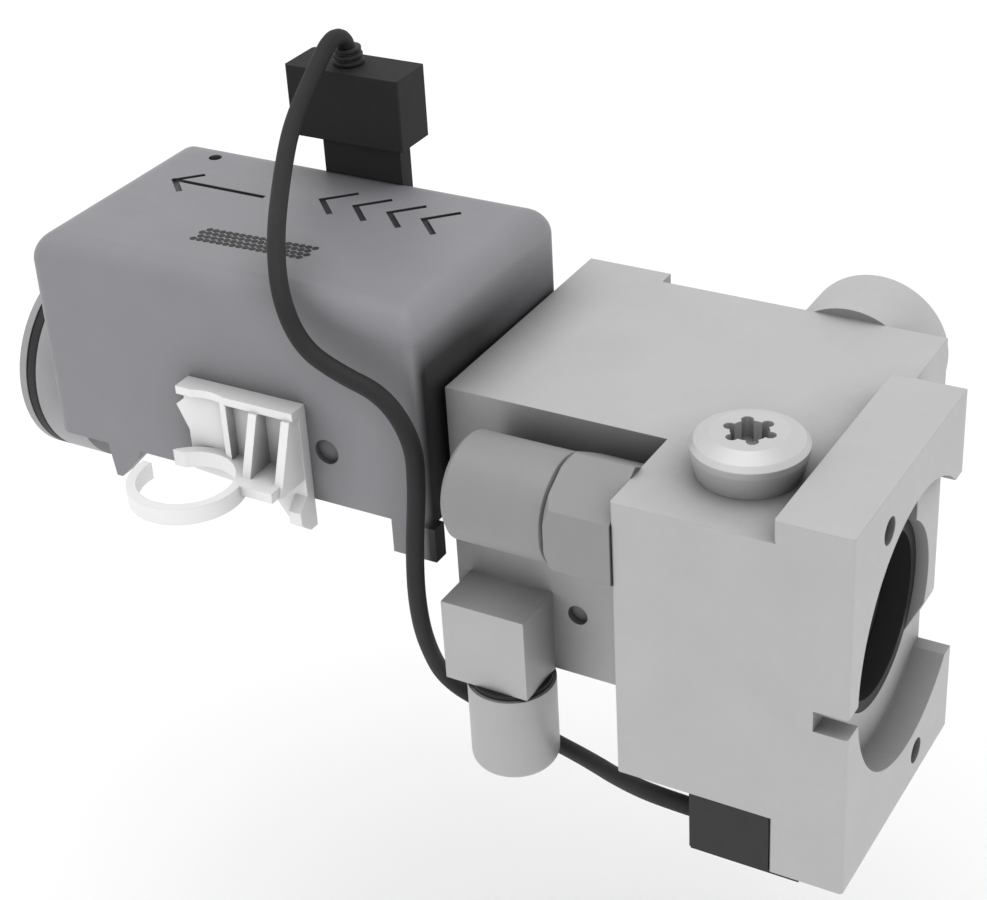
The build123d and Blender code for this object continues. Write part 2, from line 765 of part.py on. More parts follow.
def pipe_clip():
    """The white clip: a back plate with ribs, and an open ring that holds a pipe upright."""
    y1 = house_front
    y0 = y1 - clip_plate
    ear_inset, ear_slope, ear_tip, ear_root = clip_ear
    foot_width, foot_run, foot_rise, left_rise = clip_foot
    outline = [(clip_left + ear_inset, clip_top), (clip_right, clip_top), (clip_right, clip_floor),
               (clip_right - foot_width, clip_floor), (clip_right - foot_run, clip_floor + foot_rise),
               (clip_left + clip_left_inset, clip_floor + left_rise),
               (clip_left + clip_left_inset, clip_top - ear_root), (clip_left, clip_top - ear_tip),
               (clip_left + ear_inset, clip_top - ear_slope)]
    clip = prism_y(outline, y0, y1)
    ring_top = clip_ring_floor + clip_ring_height
    shelf_floor = ring_top - clip_shelf
    ring = rod_z(clip_ring_x, clip_ring_y, clip_ring_floor, ring_top, clip_ring_radius)
    shelf = box(clip_ring_x, clip_right - clip_shelf_inset, clip_ring_y + clip_shelf_start, y0, shelf_floor, ring_top)
    clip += ring + shelf
    brace_top = clip_top - clip_lip_thick
    brace = [(y0, brace_top), (y0 - clip_rib_reach * clip_brace_top, brace_top),
             (y0 - clip_rib_reach, shelf_floor), (y0, shelf_floor)]
    right_inset, middle_inset = clip_brace_insets
    for x in (clip_right - right_inset - clip_rib, clip_right - middle_inset, clip_ring_x + clip_brace_left):
        clip += prism_x(brace, x, x + clip_rib)
    hook_root, hook_shoulder, hook_nose = clip_hook
    hook = [(y0, clip_floor + hook_root), (y0 - clip_hook_reach, clip_floor + hook_shoulder),
            (y0 - clip_hook_reach, clip_floor + hook_nose), (y0, clip_floor)]
    clip += prism_x(hook, clip_right - clip_hook_width, clip_right)
    clip += box(clip_left + ear_inset, clip_right, y0 - clip_lip, y0, clip_top - clip_lip_thick, clip_top)
    ring_bore = clip_ring_radius - clip_ring_wall
    clip -= rod_z(clip_ring_x, clip_ring_y, clip_ring_floor, ring_top, ring_bore)
    clip -= rod_z(clip_ring_x, clip_ring_y, ring_top, clip_top, ring_bore + loose_gap)
    clip -= box(clip_ring_x - clip_ring_radius, clip_ring_x, clip_ring_y - clip_mouth / 2 + clip_mouth_shift,
                clip_ring_y + clip_mouth / 2 + clip_mouth_shift, clip_ring_floor, ring_top)
    return clip


# The cable's route from the plug to the sensor, point by point in the local axes.
sensor_entry = (3.2, 2.3)
cable_start = (-27.3, 40.2)
cable_route = [
    (-27.3, 40.2, header_top + plug_height + gland_length),
    (-27.3, 40.2, 65.0),
    (-27.3, 38.9, 66.3),
    (-27.4, 37.0, 66.4),
    (-27.5, 34.9, 64.9),
    (-27.2, 31.4, 62.7),
    (-26.2, 26.2, 60.2),
    (-23.0, 19.0, 57.0),
    (-18.6, 11.0, 54.4),
    (-15.0, 6.0, 50.6),
    (-12.4, 5.4, 45.8),
    (-8.0, 5.4, 43.7),
    (-2.6, 5.4, 42.3),
    (0.5, 5.4, 37.6),
    (0.5, 5.4, 32.0),
    (-0.6, 5.5, 23.6),
    (-1.6, 6.6, 15.8),
    (-3.0, 9.8, 7.8),
    (-3.6, 14.2, -0.6),
    (0.6, 17.4, -5.4),
    (8.6, 16.6, -6.8),
    (16.0, 12.4, -4.2),
    (22.8, 7.2, -0.8),
    (29.4, sensor_entry[0], sensor_entry[1]),
    (sensor_x, sensor_entry[0], sensor_entry[1]),
]


def cable_radii(points):
    """The bend radius at each inner point of the route."""
    radii = []
    for before, here, after in zip(points, points[1:], points[2:]):
        run_in = Vector(*here) - Vector(*before)
        run_out = Vector(*after) - Vector(*here)
        turn = radians(run_in.get_angle(run_out))
        radii.append(0.45 * min(run_in.length, run_out.length) / tan(turn / 2))
    return radii


def sensor_cable():
    """The cable, a plain tube of straight runs and tangent arcs."""
    radii = cable_radii(cable_route)
    print("cable bend radii", [round(radius, 1) for radius in radii])
    path = FilletPolyline(*cable_route, radius=radii)
    start = Plane(origin=path @ 0, z_dir=path % 0)
    tube = sweep(start * Circle(cable_radius), path=path)
    print("cable length", round(path.length, 1), "volume ratio",
          round(tube.volume / (pi * cable_radius ** 2 * path.length), 3))
    return tube


housing_shell = housing_cover() + housing_tabs()

for part_name, part_shape in (
    ("valve_block", valve_block()),
    ("inlet_sleeve", inlet_sleeve()),
    ("inlet_seal", inlet_seal()),
    ("block_screw", block_screw()),
    ("test_port_nut", test_port_nut()),
    ("test_port_cap", test_port_cap()),
    ("drain_cap", drain_cap()),
    ("cap_washer", cap_washer()),
    ("sensor_body", sensor_body()),
    ("sensor_probe", sensor_probe()),
    ("flow_tube", flow_tube()),
    ("spigot_oring", spigot_oring()),
    ("coupling_oring", coupling_oring()),
    ("end_gasket", end_gasket()),
    ("housing_cover", housing_shell),
    ("housing_base", housing_base()),
    ("cover_screws", cover_screws()),
    ("gear_plate", gear_plate()),
    ("idler_pin", idler_pin()),
    ("motor_body", motor_body()),
    ("motor_pinion", motor_pinion()),
    ("idler_gear", idler_gear()),
    ("valve_gear", valve_gear()),
    ("valve_stem", valve_stem()),
    ("valve_disc", valve_disc()),
    ("circuit_board", circuit_board()),
    ("connector_header", connector_header()),
    ("cable_plug", cable_plug()),
    ("pipe_clip", pipe_clip()),
    ("sensor_cable", sensor_cable()),
):
    save(part_name, part_shape)
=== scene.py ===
"""Motorised valve head: studio scene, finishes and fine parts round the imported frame."""
import json
import logging
from dataclasses import dataclass
from enum import Enum
from math import cos, radians, sin
from typing import Any, Iterable, Sequence

import bmesh
import bpy
from mathutils import Matrix, Vector

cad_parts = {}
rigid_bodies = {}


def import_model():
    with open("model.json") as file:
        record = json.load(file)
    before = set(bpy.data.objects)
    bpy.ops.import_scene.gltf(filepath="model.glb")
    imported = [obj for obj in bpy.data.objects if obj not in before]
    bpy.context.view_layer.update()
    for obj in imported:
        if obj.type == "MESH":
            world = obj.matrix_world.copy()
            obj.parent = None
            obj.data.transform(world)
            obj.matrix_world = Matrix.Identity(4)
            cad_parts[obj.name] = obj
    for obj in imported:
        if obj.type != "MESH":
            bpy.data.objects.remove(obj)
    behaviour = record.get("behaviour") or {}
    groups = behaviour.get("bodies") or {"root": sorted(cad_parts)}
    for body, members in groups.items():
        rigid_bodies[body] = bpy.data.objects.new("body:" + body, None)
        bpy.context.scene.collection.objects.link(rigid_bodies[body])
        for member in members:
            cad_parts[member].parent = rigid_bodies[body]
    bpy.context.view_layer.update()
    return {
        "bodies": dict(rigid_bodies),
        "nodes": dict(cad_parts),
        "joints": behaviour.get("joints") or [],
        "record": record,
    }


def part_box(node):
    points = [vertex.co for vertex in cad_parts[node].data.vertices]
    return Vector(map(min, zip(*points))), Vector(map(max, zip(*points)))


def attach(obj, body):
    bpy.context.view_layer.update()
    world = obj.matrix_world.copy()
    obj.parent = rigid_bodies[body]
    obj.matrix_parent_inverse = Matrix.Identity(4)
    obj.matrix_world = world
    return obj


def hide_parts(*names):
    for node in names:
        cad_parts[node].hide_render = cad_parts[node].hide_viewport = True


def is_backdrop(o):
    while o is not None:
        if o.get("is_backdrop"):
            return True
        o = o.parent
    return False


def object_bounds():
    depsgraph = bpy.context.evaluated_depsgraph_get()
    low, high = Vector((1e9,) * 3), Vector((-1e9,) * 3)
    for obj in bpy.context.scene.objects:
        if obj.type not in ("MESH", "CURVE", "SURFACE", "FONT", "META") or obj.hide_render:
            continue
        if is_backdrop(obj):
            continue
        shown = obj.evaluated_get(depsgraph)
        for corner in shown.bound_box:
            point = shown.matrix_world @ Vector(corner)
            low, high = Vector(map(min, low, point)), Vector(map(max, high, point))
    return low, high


Point = tuple[float, float, float]
MM = 0.001
PER_METRE = 1000.0
CREVICE_SHADE_TINT = 0.06     # painted shade: the share of its colour that a fully closed corner keeps
WORN_TINT = 1.6         # how much paler a worn corner is than its face
WORN_FROM = 0.995       # the cosine at which a corner starts to wear
WORN_GAIN = 5.0
CLOUD_SIZE = 7.0        # the mottling's coarse and fine features, in millimetres
SPECK_SIZE = 0.9
CLOUD_SHARE = 1.4       # how much each of the two counts
SPECK_SHARE = 0.6
BUMP_STRENGTH = 0.7
GLOSS_SIZE = 2.2
GLOSS_SWING = 0.12
STRETCH = 0.9           # how far a turned finish's grain is drawn out round its axis
log = logging.getLogger("valve_head")


class Grain(Enum):
    """The fine surface texture that a finish has."""

    CAST = "cast"
    MOULDED = "moulded"
    TURNED = "turned"


class Value:
    """A number socket that can be added to, multiplied and compared like a Python number."""

    def __init__(self, tree: bpy.types.NodeTree, socket: bpy.types.NodeSocket) -> None:
        """Wrap one socket.

        Args:
            tree: the node tree that the socket is in.
            socket: an output socket that carries a number.
        """
        self.tree = tree
        self.socket = socket

    def _math(self, operation: str, first: Any, second: Any = None) -> "Value":
        """Add one Math node.

        Args:
            operation: the Math node's operation.
            first: the first operand, a number or a Value.
            second: the second operand, where the operation has one.

        Returns:
            The node's result.
        """
        node = self.tree.nodes.new("ShaderNodeMath")
        node.operation = operation
        for index, operand in enumerate((first, second)):
            if isinstance(operand, Value):
                self.tree.links.new(operand.socket, node.inputs[index])
            elif operand is not None:
                node.inputs[index].default_value = operand
        return Value(self.tree, node.outputs[0])

    def __add__(self, other: Any) -> "Value":
        """Return self + other."""
        return self._math("ADD", self, other)

    def __radd__(self, other: Any) -> "Value":
        """Return other + self."""
        return self._math("ADD", other, self)

    def __sub__(self, other: Any) -> "Value":
        """Return self - other."""
        return self._math("SUBTRACT", self, other)

    def __rsub__(self, other: Any) -> "Value":
        """Return other - self."""
        return self._math("SUBTRACT", other, self)

    def __mul__(self, other: Any) -> "Value":
        """Return self * other."""
        return self._math("MULTIPLY", self, other)

    def __truediv__(self, other: Any) -> "Value":
        """Return self / other."""
        return self._math("DIVIDE", self, other)

    def __gt__(self, other: Any) -> "Value":
        """Return 1 where self is over other, and 0 elsewhere."""
        return self._math("GREATER_THAN", self, other)

    def __lt__(self, other: Any) -> "Value":
        """Return 1 where self is under other, and 0 elsewhere."""
        return self._math("LESS_THAN", self, other)

    def clamped(self) -> "Value":
        """Return self, held between 0 and 1."""
        return self._math("MINIMUM", self._math("MAXIMUM", self, 0.0), 1.0)

    def power(self, exponent: float) -> "Value":
        """Return self raised to a power."""
        return self._math("POWER", self, exponent)


class Graph:
    """One material's node tree, with short calls for its nodes."""

    def __init__(self, name: str) -> None:
        """Make an empty material.

        Args:
            name: the material's name.
        """
        self.material = bpy.data.materials.new(name)
        self.material.use_nodes = True
        self.tree = self.material.node_tree
        self.tree.nodes.clear()
        self.shader = self.node("ShaderNodeBsdfPrincipled")
        output = self.node("ShaderNodeOutputMaterial")
        self.tree.links.new(self.shader.outputs["BSDF"], output.inputs["Surface"])

    def node(self, kind: str, settings: dict[str, Any] | None = None,
             inputs: dict[str, Any] | None = None) -> bpy.types.Node:
        """Add a node.

        Args:
            kind: the node's type.
            settings: properties of the node itself, set first.
            inputs: values or links for its sockets, by name.

        Returns:
            The new node.
        """
        node = self.tree.nodes.new(kind)
        for key, value in (settings or {}).items():
            setattr(node, key, value)
        for key, value in (inputs or {}).items():
            self.feed(node.inputs[key], value)
        return node

    def feed(self, socket: bpy.types.NodeSocket, value: Any) -> None:
        """Give a socket a value or a link.

        Args:
            socket: the input socket.
            value: a Value, an output socket, or a plain number or colour.
        """
        if isinstance(value, Value):
            self.tree.links.new(value.socket, socket)
        elif isinstance(value, bpy.types.NodeSocket):
            self.tree.links.new(value, socket)
        else:
            socket.default_value = value

    def millimetres(self) -> bpy.types.NodeSocket:
        """Read the object's own coordinates.

        Returns:
            The point on the object, in millimetres.
        """
        place = self.node("ShaderNodeTexCoord").outputs["Object"]
        scaled = self.node("ShaderNodeVectorMath", {"operation": "SCALE"}, {"Vector": place, "Scale": PER_METRE})
        return scaled.outputs["Vector"]

    def parts(self, vector: bpy.types.NodeSocket) -> tuple[Value, Value, Value]:
        """Split a vector.

        Args:
            vector: the socket that carries it.

        Returns:
            Its X, Y and Z.
        """
        split = self.node("ShaderNodeSeparateXYZ", inputs={"Vector": vector})
        return tuple(Value(self.tree, split.outputs[axis]) for axis in "XYZ")

    def noise(self, vector: Any, size: float, detail: float) -> Value:
        """Add smooth noise.

        Args:
            vector: the point that it is read at, in millimetres.
            size: how far across its features are, in millimetres.
            detail: how many finer layers it has.

        Returns:
            The noise, from 0 to 1.
        """
        texture = self.node("ShaderNodeTexNoise", inputs={"Vector": vector, "Scale": 1.0 / size, "Detail": detail})
        return Value(self.tree, texture.outputs["Fac"])

    def mix(self, factor: Any, first: Any, second: Any) -> bpy.types.NodeSocket:
        """Mix two colours.

        Args:
            factor: 0 for the first colour, 1 for the second.
            first: the first colour.
            second: the second colour.

        Returns:
            The mixed colour.
        """
        node = self.node("ShaderNodeMix", {"data_type": "RGBA"})
        self.feed(node.inputs[0], factor)
        self.feed(node.inputs[6], first)
        self.feed(node.inputs[7], second)
        return node.outputs[2]

    def openness(self, reach: float, strength: float) -> Value:
        """Return how open a surface point is to its surroundings.

        Args:
            reach: how far a neighbour counts, in metres.
            strength: how much a closed corner darkens, from 0 up.

        Returns:
            1 on an open face, falling towards 0 in a crevice.
        """
        shade = self.node("ShaderNodeAmbientOcclusion", {"samples": 8}, {"Distance": reach})
        return Value(self.tree, shade.outputs["AO"]).power(strength)


@dataclass(frozen=True)
class Finish:
    """One finish: colour, gloss, fine grain, and shade painted into its crevices."""

    name: str
    colour: tuple[float, float, float]
    roughness: float
    metallic: float = 0.0
    grain: Grain = Grain.MOULDED
    grain_size: float = 0.35
    grain_depth: float = 0.01
    mottle: float = 0.04
    edge_round: float = 0.15
    # shade painted into crevices: how strongly it darkens, and how far a neighbour reaches, in millimetres
    crevice_shade: float = 0.9
    crevice_shade_reach: float = 6.0
    wear: float = 0.1
    axis: str = "z"

    def rgba(self, factor: float = 1.0) -> tuple[float, float, float, float]:
        """Return the colour times a factor, as a socket's value."""
        return (*(min(1.0, channel * factor) for channel in self.colour), 1.0)

    def height(self, graph: Graph, place: bpy.types.NodeSocket) -> Value:
        """Return the height of the fine grain, in millimetres.

        Args:
            graph: the material's node tree.
            place: the point on the object, in millimetres.

        Returns:
            The height.
        """
        if self.grain is Grain.CAST:
            coarse = graph.noise(place, self.grain_size * 3.0, 4.0)
            return (graph.noise(place, self.grain_size, 5.0) + coarse * 1.5) * self.grain_depth
        if self.grain is Grain.TURNED:
            squeeze = {"x": (0.0, 1.0, 1.0), "y": (1.0, 0.0, 1.0), "z": (1.0, 1.0, 0.0)}[self.axis]
            stretched = graph.node("ShaderNodeVectorMath", {"operation": "MULTIPLY"},
                                   {0: place, 1: tuple(1.0 - STRETCH * part for part in squeeze)})
            return graph.noise(stretched.outputs["Vector"], self.grain_size, 2.0) * self.grain_depth
        return graph.noise(place, self.grain_size, 2.0) * self.grain_depth

    def shade(self, graph: Graph, place: bpy.types.NodeSocket) -> bpy.types.NodeSocket:
        """Mottle the base colour, before shade is painted into the crevices.

        Args:
            graph: the material's node tree.
            place: the point on the object, in millimetres.

        Returns:
            The mottled colour.
        """
        cloud = graph.noise(place, CLOUD_SIZE, 3.0)
        speck = graph.noise(place, SPECK_SIZE, 3.0)
        factor = ((cloud - 0.5) * CLOUD_SHARE + (speck - 0.5) * SPECK_SHARE + 0.5).clamped()
        return graph.mix(factor, self.rgba(1.0 - self.mottle), self.rgba(1.0 + self.mottle))

    def edges(self, graph: Graph, rounded: bpy.types.Node) -> Value:
        """Find the worn corners.

        Args:
            graph: the material's node tree.
            rounded: the node that rounds the corners' normals.

        Returns:
            1 on a worn corner and 0 on a flat face.
        """
        flat = graph.node("ShaderNodeNewGeometry").outputs["True Normal"]
        along = graph.node("ShaderNodeVectorMath", {"operation": "DOT_PRODUCT"},
                           {0: rounded.outputs["Normal"], 1: flat})
        return ((WORN_FROM - Value(graph.tree, along.outputs["Value"])) * WORN_GAIN).clamped()

    def build(self) -> bpy.types.Material:
        """Make the material.

        Returns:
            The finished material, on Object coordinates.
        """
        graph = Graph(self.name)
        place = graph.millimetres()
        rounded = graph.node("ShaderNodeBevel", {"samples": 6}, {"Radius": self.edge_round * MM})
        worn = self.edges(graph, rounded) * self.wear
        colour = graph.mix(worn, self.shade(graph, place), self.rgba(WORN_TINT))
        # painted shade: the base colour darkens where neighbours close a point in, as ambient occlusion would
        # shade it
        if self.crevice_shade > 0:
            opened = graph.openness(self.crevice_shade_reach * MM, self.crevice_shade)
            colour = graph.mix(opened, self.rgba(CREVICE_SHADE_TINT), colour)
        graph.feed(graph.shader.inputs["Base Color"], colour)
        rough = self.roughness + (graph.noise(place, GLOSS_SIZE, 4.0) - 0.5) * GLOSS_SWING
        graph.feed(graph.shader.inputs["Roughness"], rough.clamped())
        graph.shader.inputs["Metallic"].default_value = self.metallic
        bump = graph.node("ShaderNodeBump", inputs={"Strength": BUMP_STRENGTH, "Distance": MM,
                                                    "Height": self.height(graph, place),
                                                    "Normal": rounded.outputs["Normal"]})
        graph.feed(graph.shader.inputs["Normal"], bump.outputs["Normal"])
        return graph.material


@dataclass(frozen=True)
class MarkedFinish(Finish):
    """The housing's plastic, with shade painted into its cut marks and down the end wall that faces the block."""

    roof: float = 0.0
    mark_depth: float = 0.35
    mark_from: float = 0.15
    mark_to: float = 1.2
    mark_front: float = 0.0
    mark_back: float = 0.0
    mark_left: float = 0.0
    mark_right: float = 0.0
    end_wall: float = 0.0
    # painted shade on the end wall that faces the block, in millimetres: how wide a band it takes, how far below
    # the roof it starts and fades in, and how it fades from the front towards the back; then its gain
    end_shade_width: float = 1.3
    end_shade_top: float = 2.6
    end_shade_fade: float = 4.5
    end_shade_back: float = 20.0
    end_shade_run: float = 22.0
    end_shade_gain: float = 2.2
    # how far the shade painted into the cut marks goes towards near-black
    cut_shade_strength: float = 0.85
    # the near-black that the painted shade in the cut marks and on the end wall is drawn in
    near_black: tuple[float, float, float] = (0.012, 0.012, 0.013)

    def shade(self, graph: Graph, place: bpy.types.NodeSocket) -> bpy.types.NodeSocket:
        """Paint shade into the roof's cut marks and down the end wall.

        Args:
            graph: the material's node tree.
            place: the point on the object, in millimetres.

        Returns:
            The plastic's colour, with the painted shade.
        """
        plain = super().shade(graph, place)
        along, across, height = graph.parts(place)
        depth = self.roof - height
        # painted shade: inside the roof's cut marks the plastic is drawn near-black, for the shade that falls in
        # the grooves
        cut = (depth > self.mark_depth * self.mark_from) * (depth < self.mark_depth * self.mark_to)
        inside = (across > self.mark_front) * (across < self.mark_back)
        inside = inside * (along > self.mark_left) * (along < self.mark_right)
        cut_shaded = graph.mix(cut * inside * self.cut_shade_strength, plain, (*self.near_black, 1.0))
        # painted shade: the end wall facing the block is drawn near-black, darkest low down and towards the front,
        # for the deep shade in the gap between the housing and the block
        near = ((along - self.end_wall + self.end_shade_width) / self.end_shade_width).clamped()
        below = ((depth - self.end_shade_top) / self.end_shade_fade).clamped()
        front = ((self.end_shade_back - across) / self.end_shade_run).clamped()
        end_shade = near * below * front * self.end_shade_gain
        return graph.mix(end_shade.clamped(), cut_shaded, (*self.near_black, 1.0))


CAST = Finish("pale_cast", (0.45, 0.45, 0.45), 0.5, grain=Grain.CAST, grain_size=0.3, grain_depth=0.014,
              crevice_shade=1.25, crevice_shade_reach=8.0, wear=0.22)
ZINC = Finish("zinc_plate", (0.56, 0.56, 0.56), 0.42, metallic=0.45, crevice_shade=0.3, grain=Grain.TURNED,
              grain_size=0.2, grain_depth=0.004, axis="z")
PORT = Finish("turned_port", (0.27, 0.27, 0.27), 0.5, metallic=0.12, grain=Grain.TURNED, grain_size=0.2,
              grain_depth=0.004, axis="x")
CAP = Finish("turned_cap", (0.43, 0.43, 0.43), 0.45, metallic=0.15, grain=Grain.TURNED, grain_size=0.2,
             grain_depth=0.004, axis="z")
RUBBER = Finish("black_rubber", (0.012, 0.012, 0.013), 0.6, grain_size=0.2, grain_depth=0.006)
SENSOR = Finish("sensor_plastic", (0.02, 0.02, 0.0215), 0.7)
PLUG = Finish("plug_plastic", (0.006, 0.006, 0.0065), 0.75, mottle=0.12)
SHEATH = Finish("cable_sheath", (0.009, 0.009, 0.01), 0.72, grain_size=0.5, grain_depth=0.01, crevice_shade_reach=2.5)
TUBE = Finish("tube_plastic", (0.33, 0.33, 0.34), 0.45)
ACETAL = Finish("gear_plastic", (0.8, 0.79, 0.74), 0.4)
DISC = Finish("disc_plastic", (0.16, 0.16, 0.17), 0.45)
BOARD = Finish("board_green", (0.02, 0.16, 0.07), 0.3)
WHITE = Finish("white_plastic", (0.86, 0.86, 0.86), 0.4, mottle=0.015, crevice_shade=0.8, crevice_shade_reach=5.0)
INK = Finish("near_black", (0.008, 0.008, 0.008), 0.5, crevice_shade=0.0)


def deselect() -> None:
    """Leave nothing selected."""
    if bpy.context.object is not None and bpy.context.object.mode != "OBJECT":
        bpy.ops.object.mode_set(mode="OBJECT")
    bpy.ops.object.select_all(action="DESELECT")


def settle(piece: bpy.types.Object, name: str, body: str, material: bpy.types.Material) -> None:
    """Put a finished piece's place in its mesh, name it, and give it a body and a material.

    Args:
        piece: the piece, an object with a mesh.
        name: its new name.
        body: the CAD body that it rides on.
        material: its material.
    """
    deselect()
    piece.select_set(True)
    bpy.context.view_layer.objects.active = piece
    bpy.ops.object.transform_apply(location=True, rotation=True, scale=True)
    piece.name = name
    piece.data.materials.clear()
    piece.data.materials.append(material)
    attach(piece, body)
    deselect()


def dress(frame: dict[str, Any], names: Iterable[str], material: bpy.types.Material) -> None:
    """Give CAD nodes a material.

    Args:
        frame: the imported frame.
        names: the nodes.
        material: the material that they get.
    """
    for name in names:
        node = frame["nodes"][name]
        node.data.materials.clear()
        node.data.materials.append(material)


@dataclass
class ValveBlock:
    """The cast block with its port, screw, test port, drain and seals."""

    frame: dict[str, Any]

    def build(self) -> None:
        """Dress the block's nodes."""
        dress(self.frame, ["valve_block"], CAST.build())
        dress(self.frame, ["block_screw", "cover_screws", "idler_pin", "motor_body", "valve_stem",
                           "sensor_probe"], ZINC.build())
        dress(self.frame, ["test_port_nut", "test_port_cap"], PORT.build())
        dress(self.frame, ["drain_cap"], CAP.build())
        # the end gasket is a thin black rubber seal in the gap between the housing and the block, and also a dark
        # sheet that stands in for the shade in that gap
        dress(self.frame, ["inlet_sleeve", "inlet_seal", "cap_washer", "spigot_oring", "coupling_oring",
                           "end_gasket"], RUBBER.build())


@dataclass
class Actuator:
    """The grey housing with its marks, the flow tube and the gear train inside."""

    frame: dict[str, Any]
    dot_radius: float = 0.4 * MM
    dot_rise: float = 0.03 * MM
    dot_pitch: float = 0.86 * MM
    rows: int = 4
    columns: int = 17
    print_start: Point = (-33.6 * MM, 15.9 * MM, 0.0)
    housing_left: float = -52.2 * MM
    housing_front: float = 8.8 * MM
    dot_slant: float = 0.05
    dot_sides: int = 12
    mark_inset: float = 4.2

    def plastic(self) -> bpy.types.Material:
        """Make the housing's plastic, with its roof and end wall found from the frame.

        Returns:
            The material.
        """
        low, high = ([value * PER_METRE for value in corner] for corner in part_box("housing_cover"))
        inset = self.mark_inset
        return MarkedFinish("grey_plastic", (0.235, 0.233, 0.25), 0.45, grain_size=0.25, grain_depth=0.006,
                            crevice_shade=1.15, crevice_shade_reach=7.0, roof=high[2], end_wall=high[0], end_shade_back=high[1],
                            mark_left=low[0] + inset, mark_right=high[0] - inset,
                            mark_front=low[1] + inset, mark_back=high[1] - inset).build()

    def roof_print(self) -> None:
        """Print a plain block of dots on the roof."""
        low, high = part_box("housing_cover")
        left = low[0] + self.print_start[0] - self.housing_left
        front = low[1] + self.print_start[1] - self.housing_front
        deselect()
        bpy.ops.mesh.primitive_cylinder_add(vertices=self.dot_sides, radius=self.dot_radius, depth=self.dot_rise,
                                            location=(left, front, high[2] + self.dot_rise / 2))
        first = bpy.context.object
        dots = [first]
        for row in range(self.rows):
            for column in range(self.columns):
                if row == column == 0:
                    continue
                dot = first.copy()
                dot.data = first.data.copy()
                dot.location.x = left + column * self.dot_pitch + (row % 2) * self.dot_pitch / 2
                dot.location.y = front + row * self.dot_pitch + column * self.dot_pitch * self.dot_slant
                bpy.context.scene.collection.objects.link(dot)
                dots.append(dot)
        deselect()
        for dot in dots:
            dot.select_set(True)
        bpy.context.view_layer.objects.active = first
        bpy.ops.object.join()
        settle(first, "roof_print", "housing", INK.build())

    def build(self) -> None:
        """Dress the actuator and add its print."""
        dress(self.frame, ["housing_cover", "housing_base"], self.plastic())
        dress(self.frame, ["flow_tube", "gear_plate"], TUBE.build())
        dress(self.frame, ["motor_pinion", "idler_gear", "valve_gear"], ACETAL.build())
        dress(self.frame, ["valve_disc"], DISC.build())
        dress(self.frame, ["circuit_board"], BOARD.build())
        dress(self.frame, ["connector_header"], PLUG.build())
        self.roof_print()


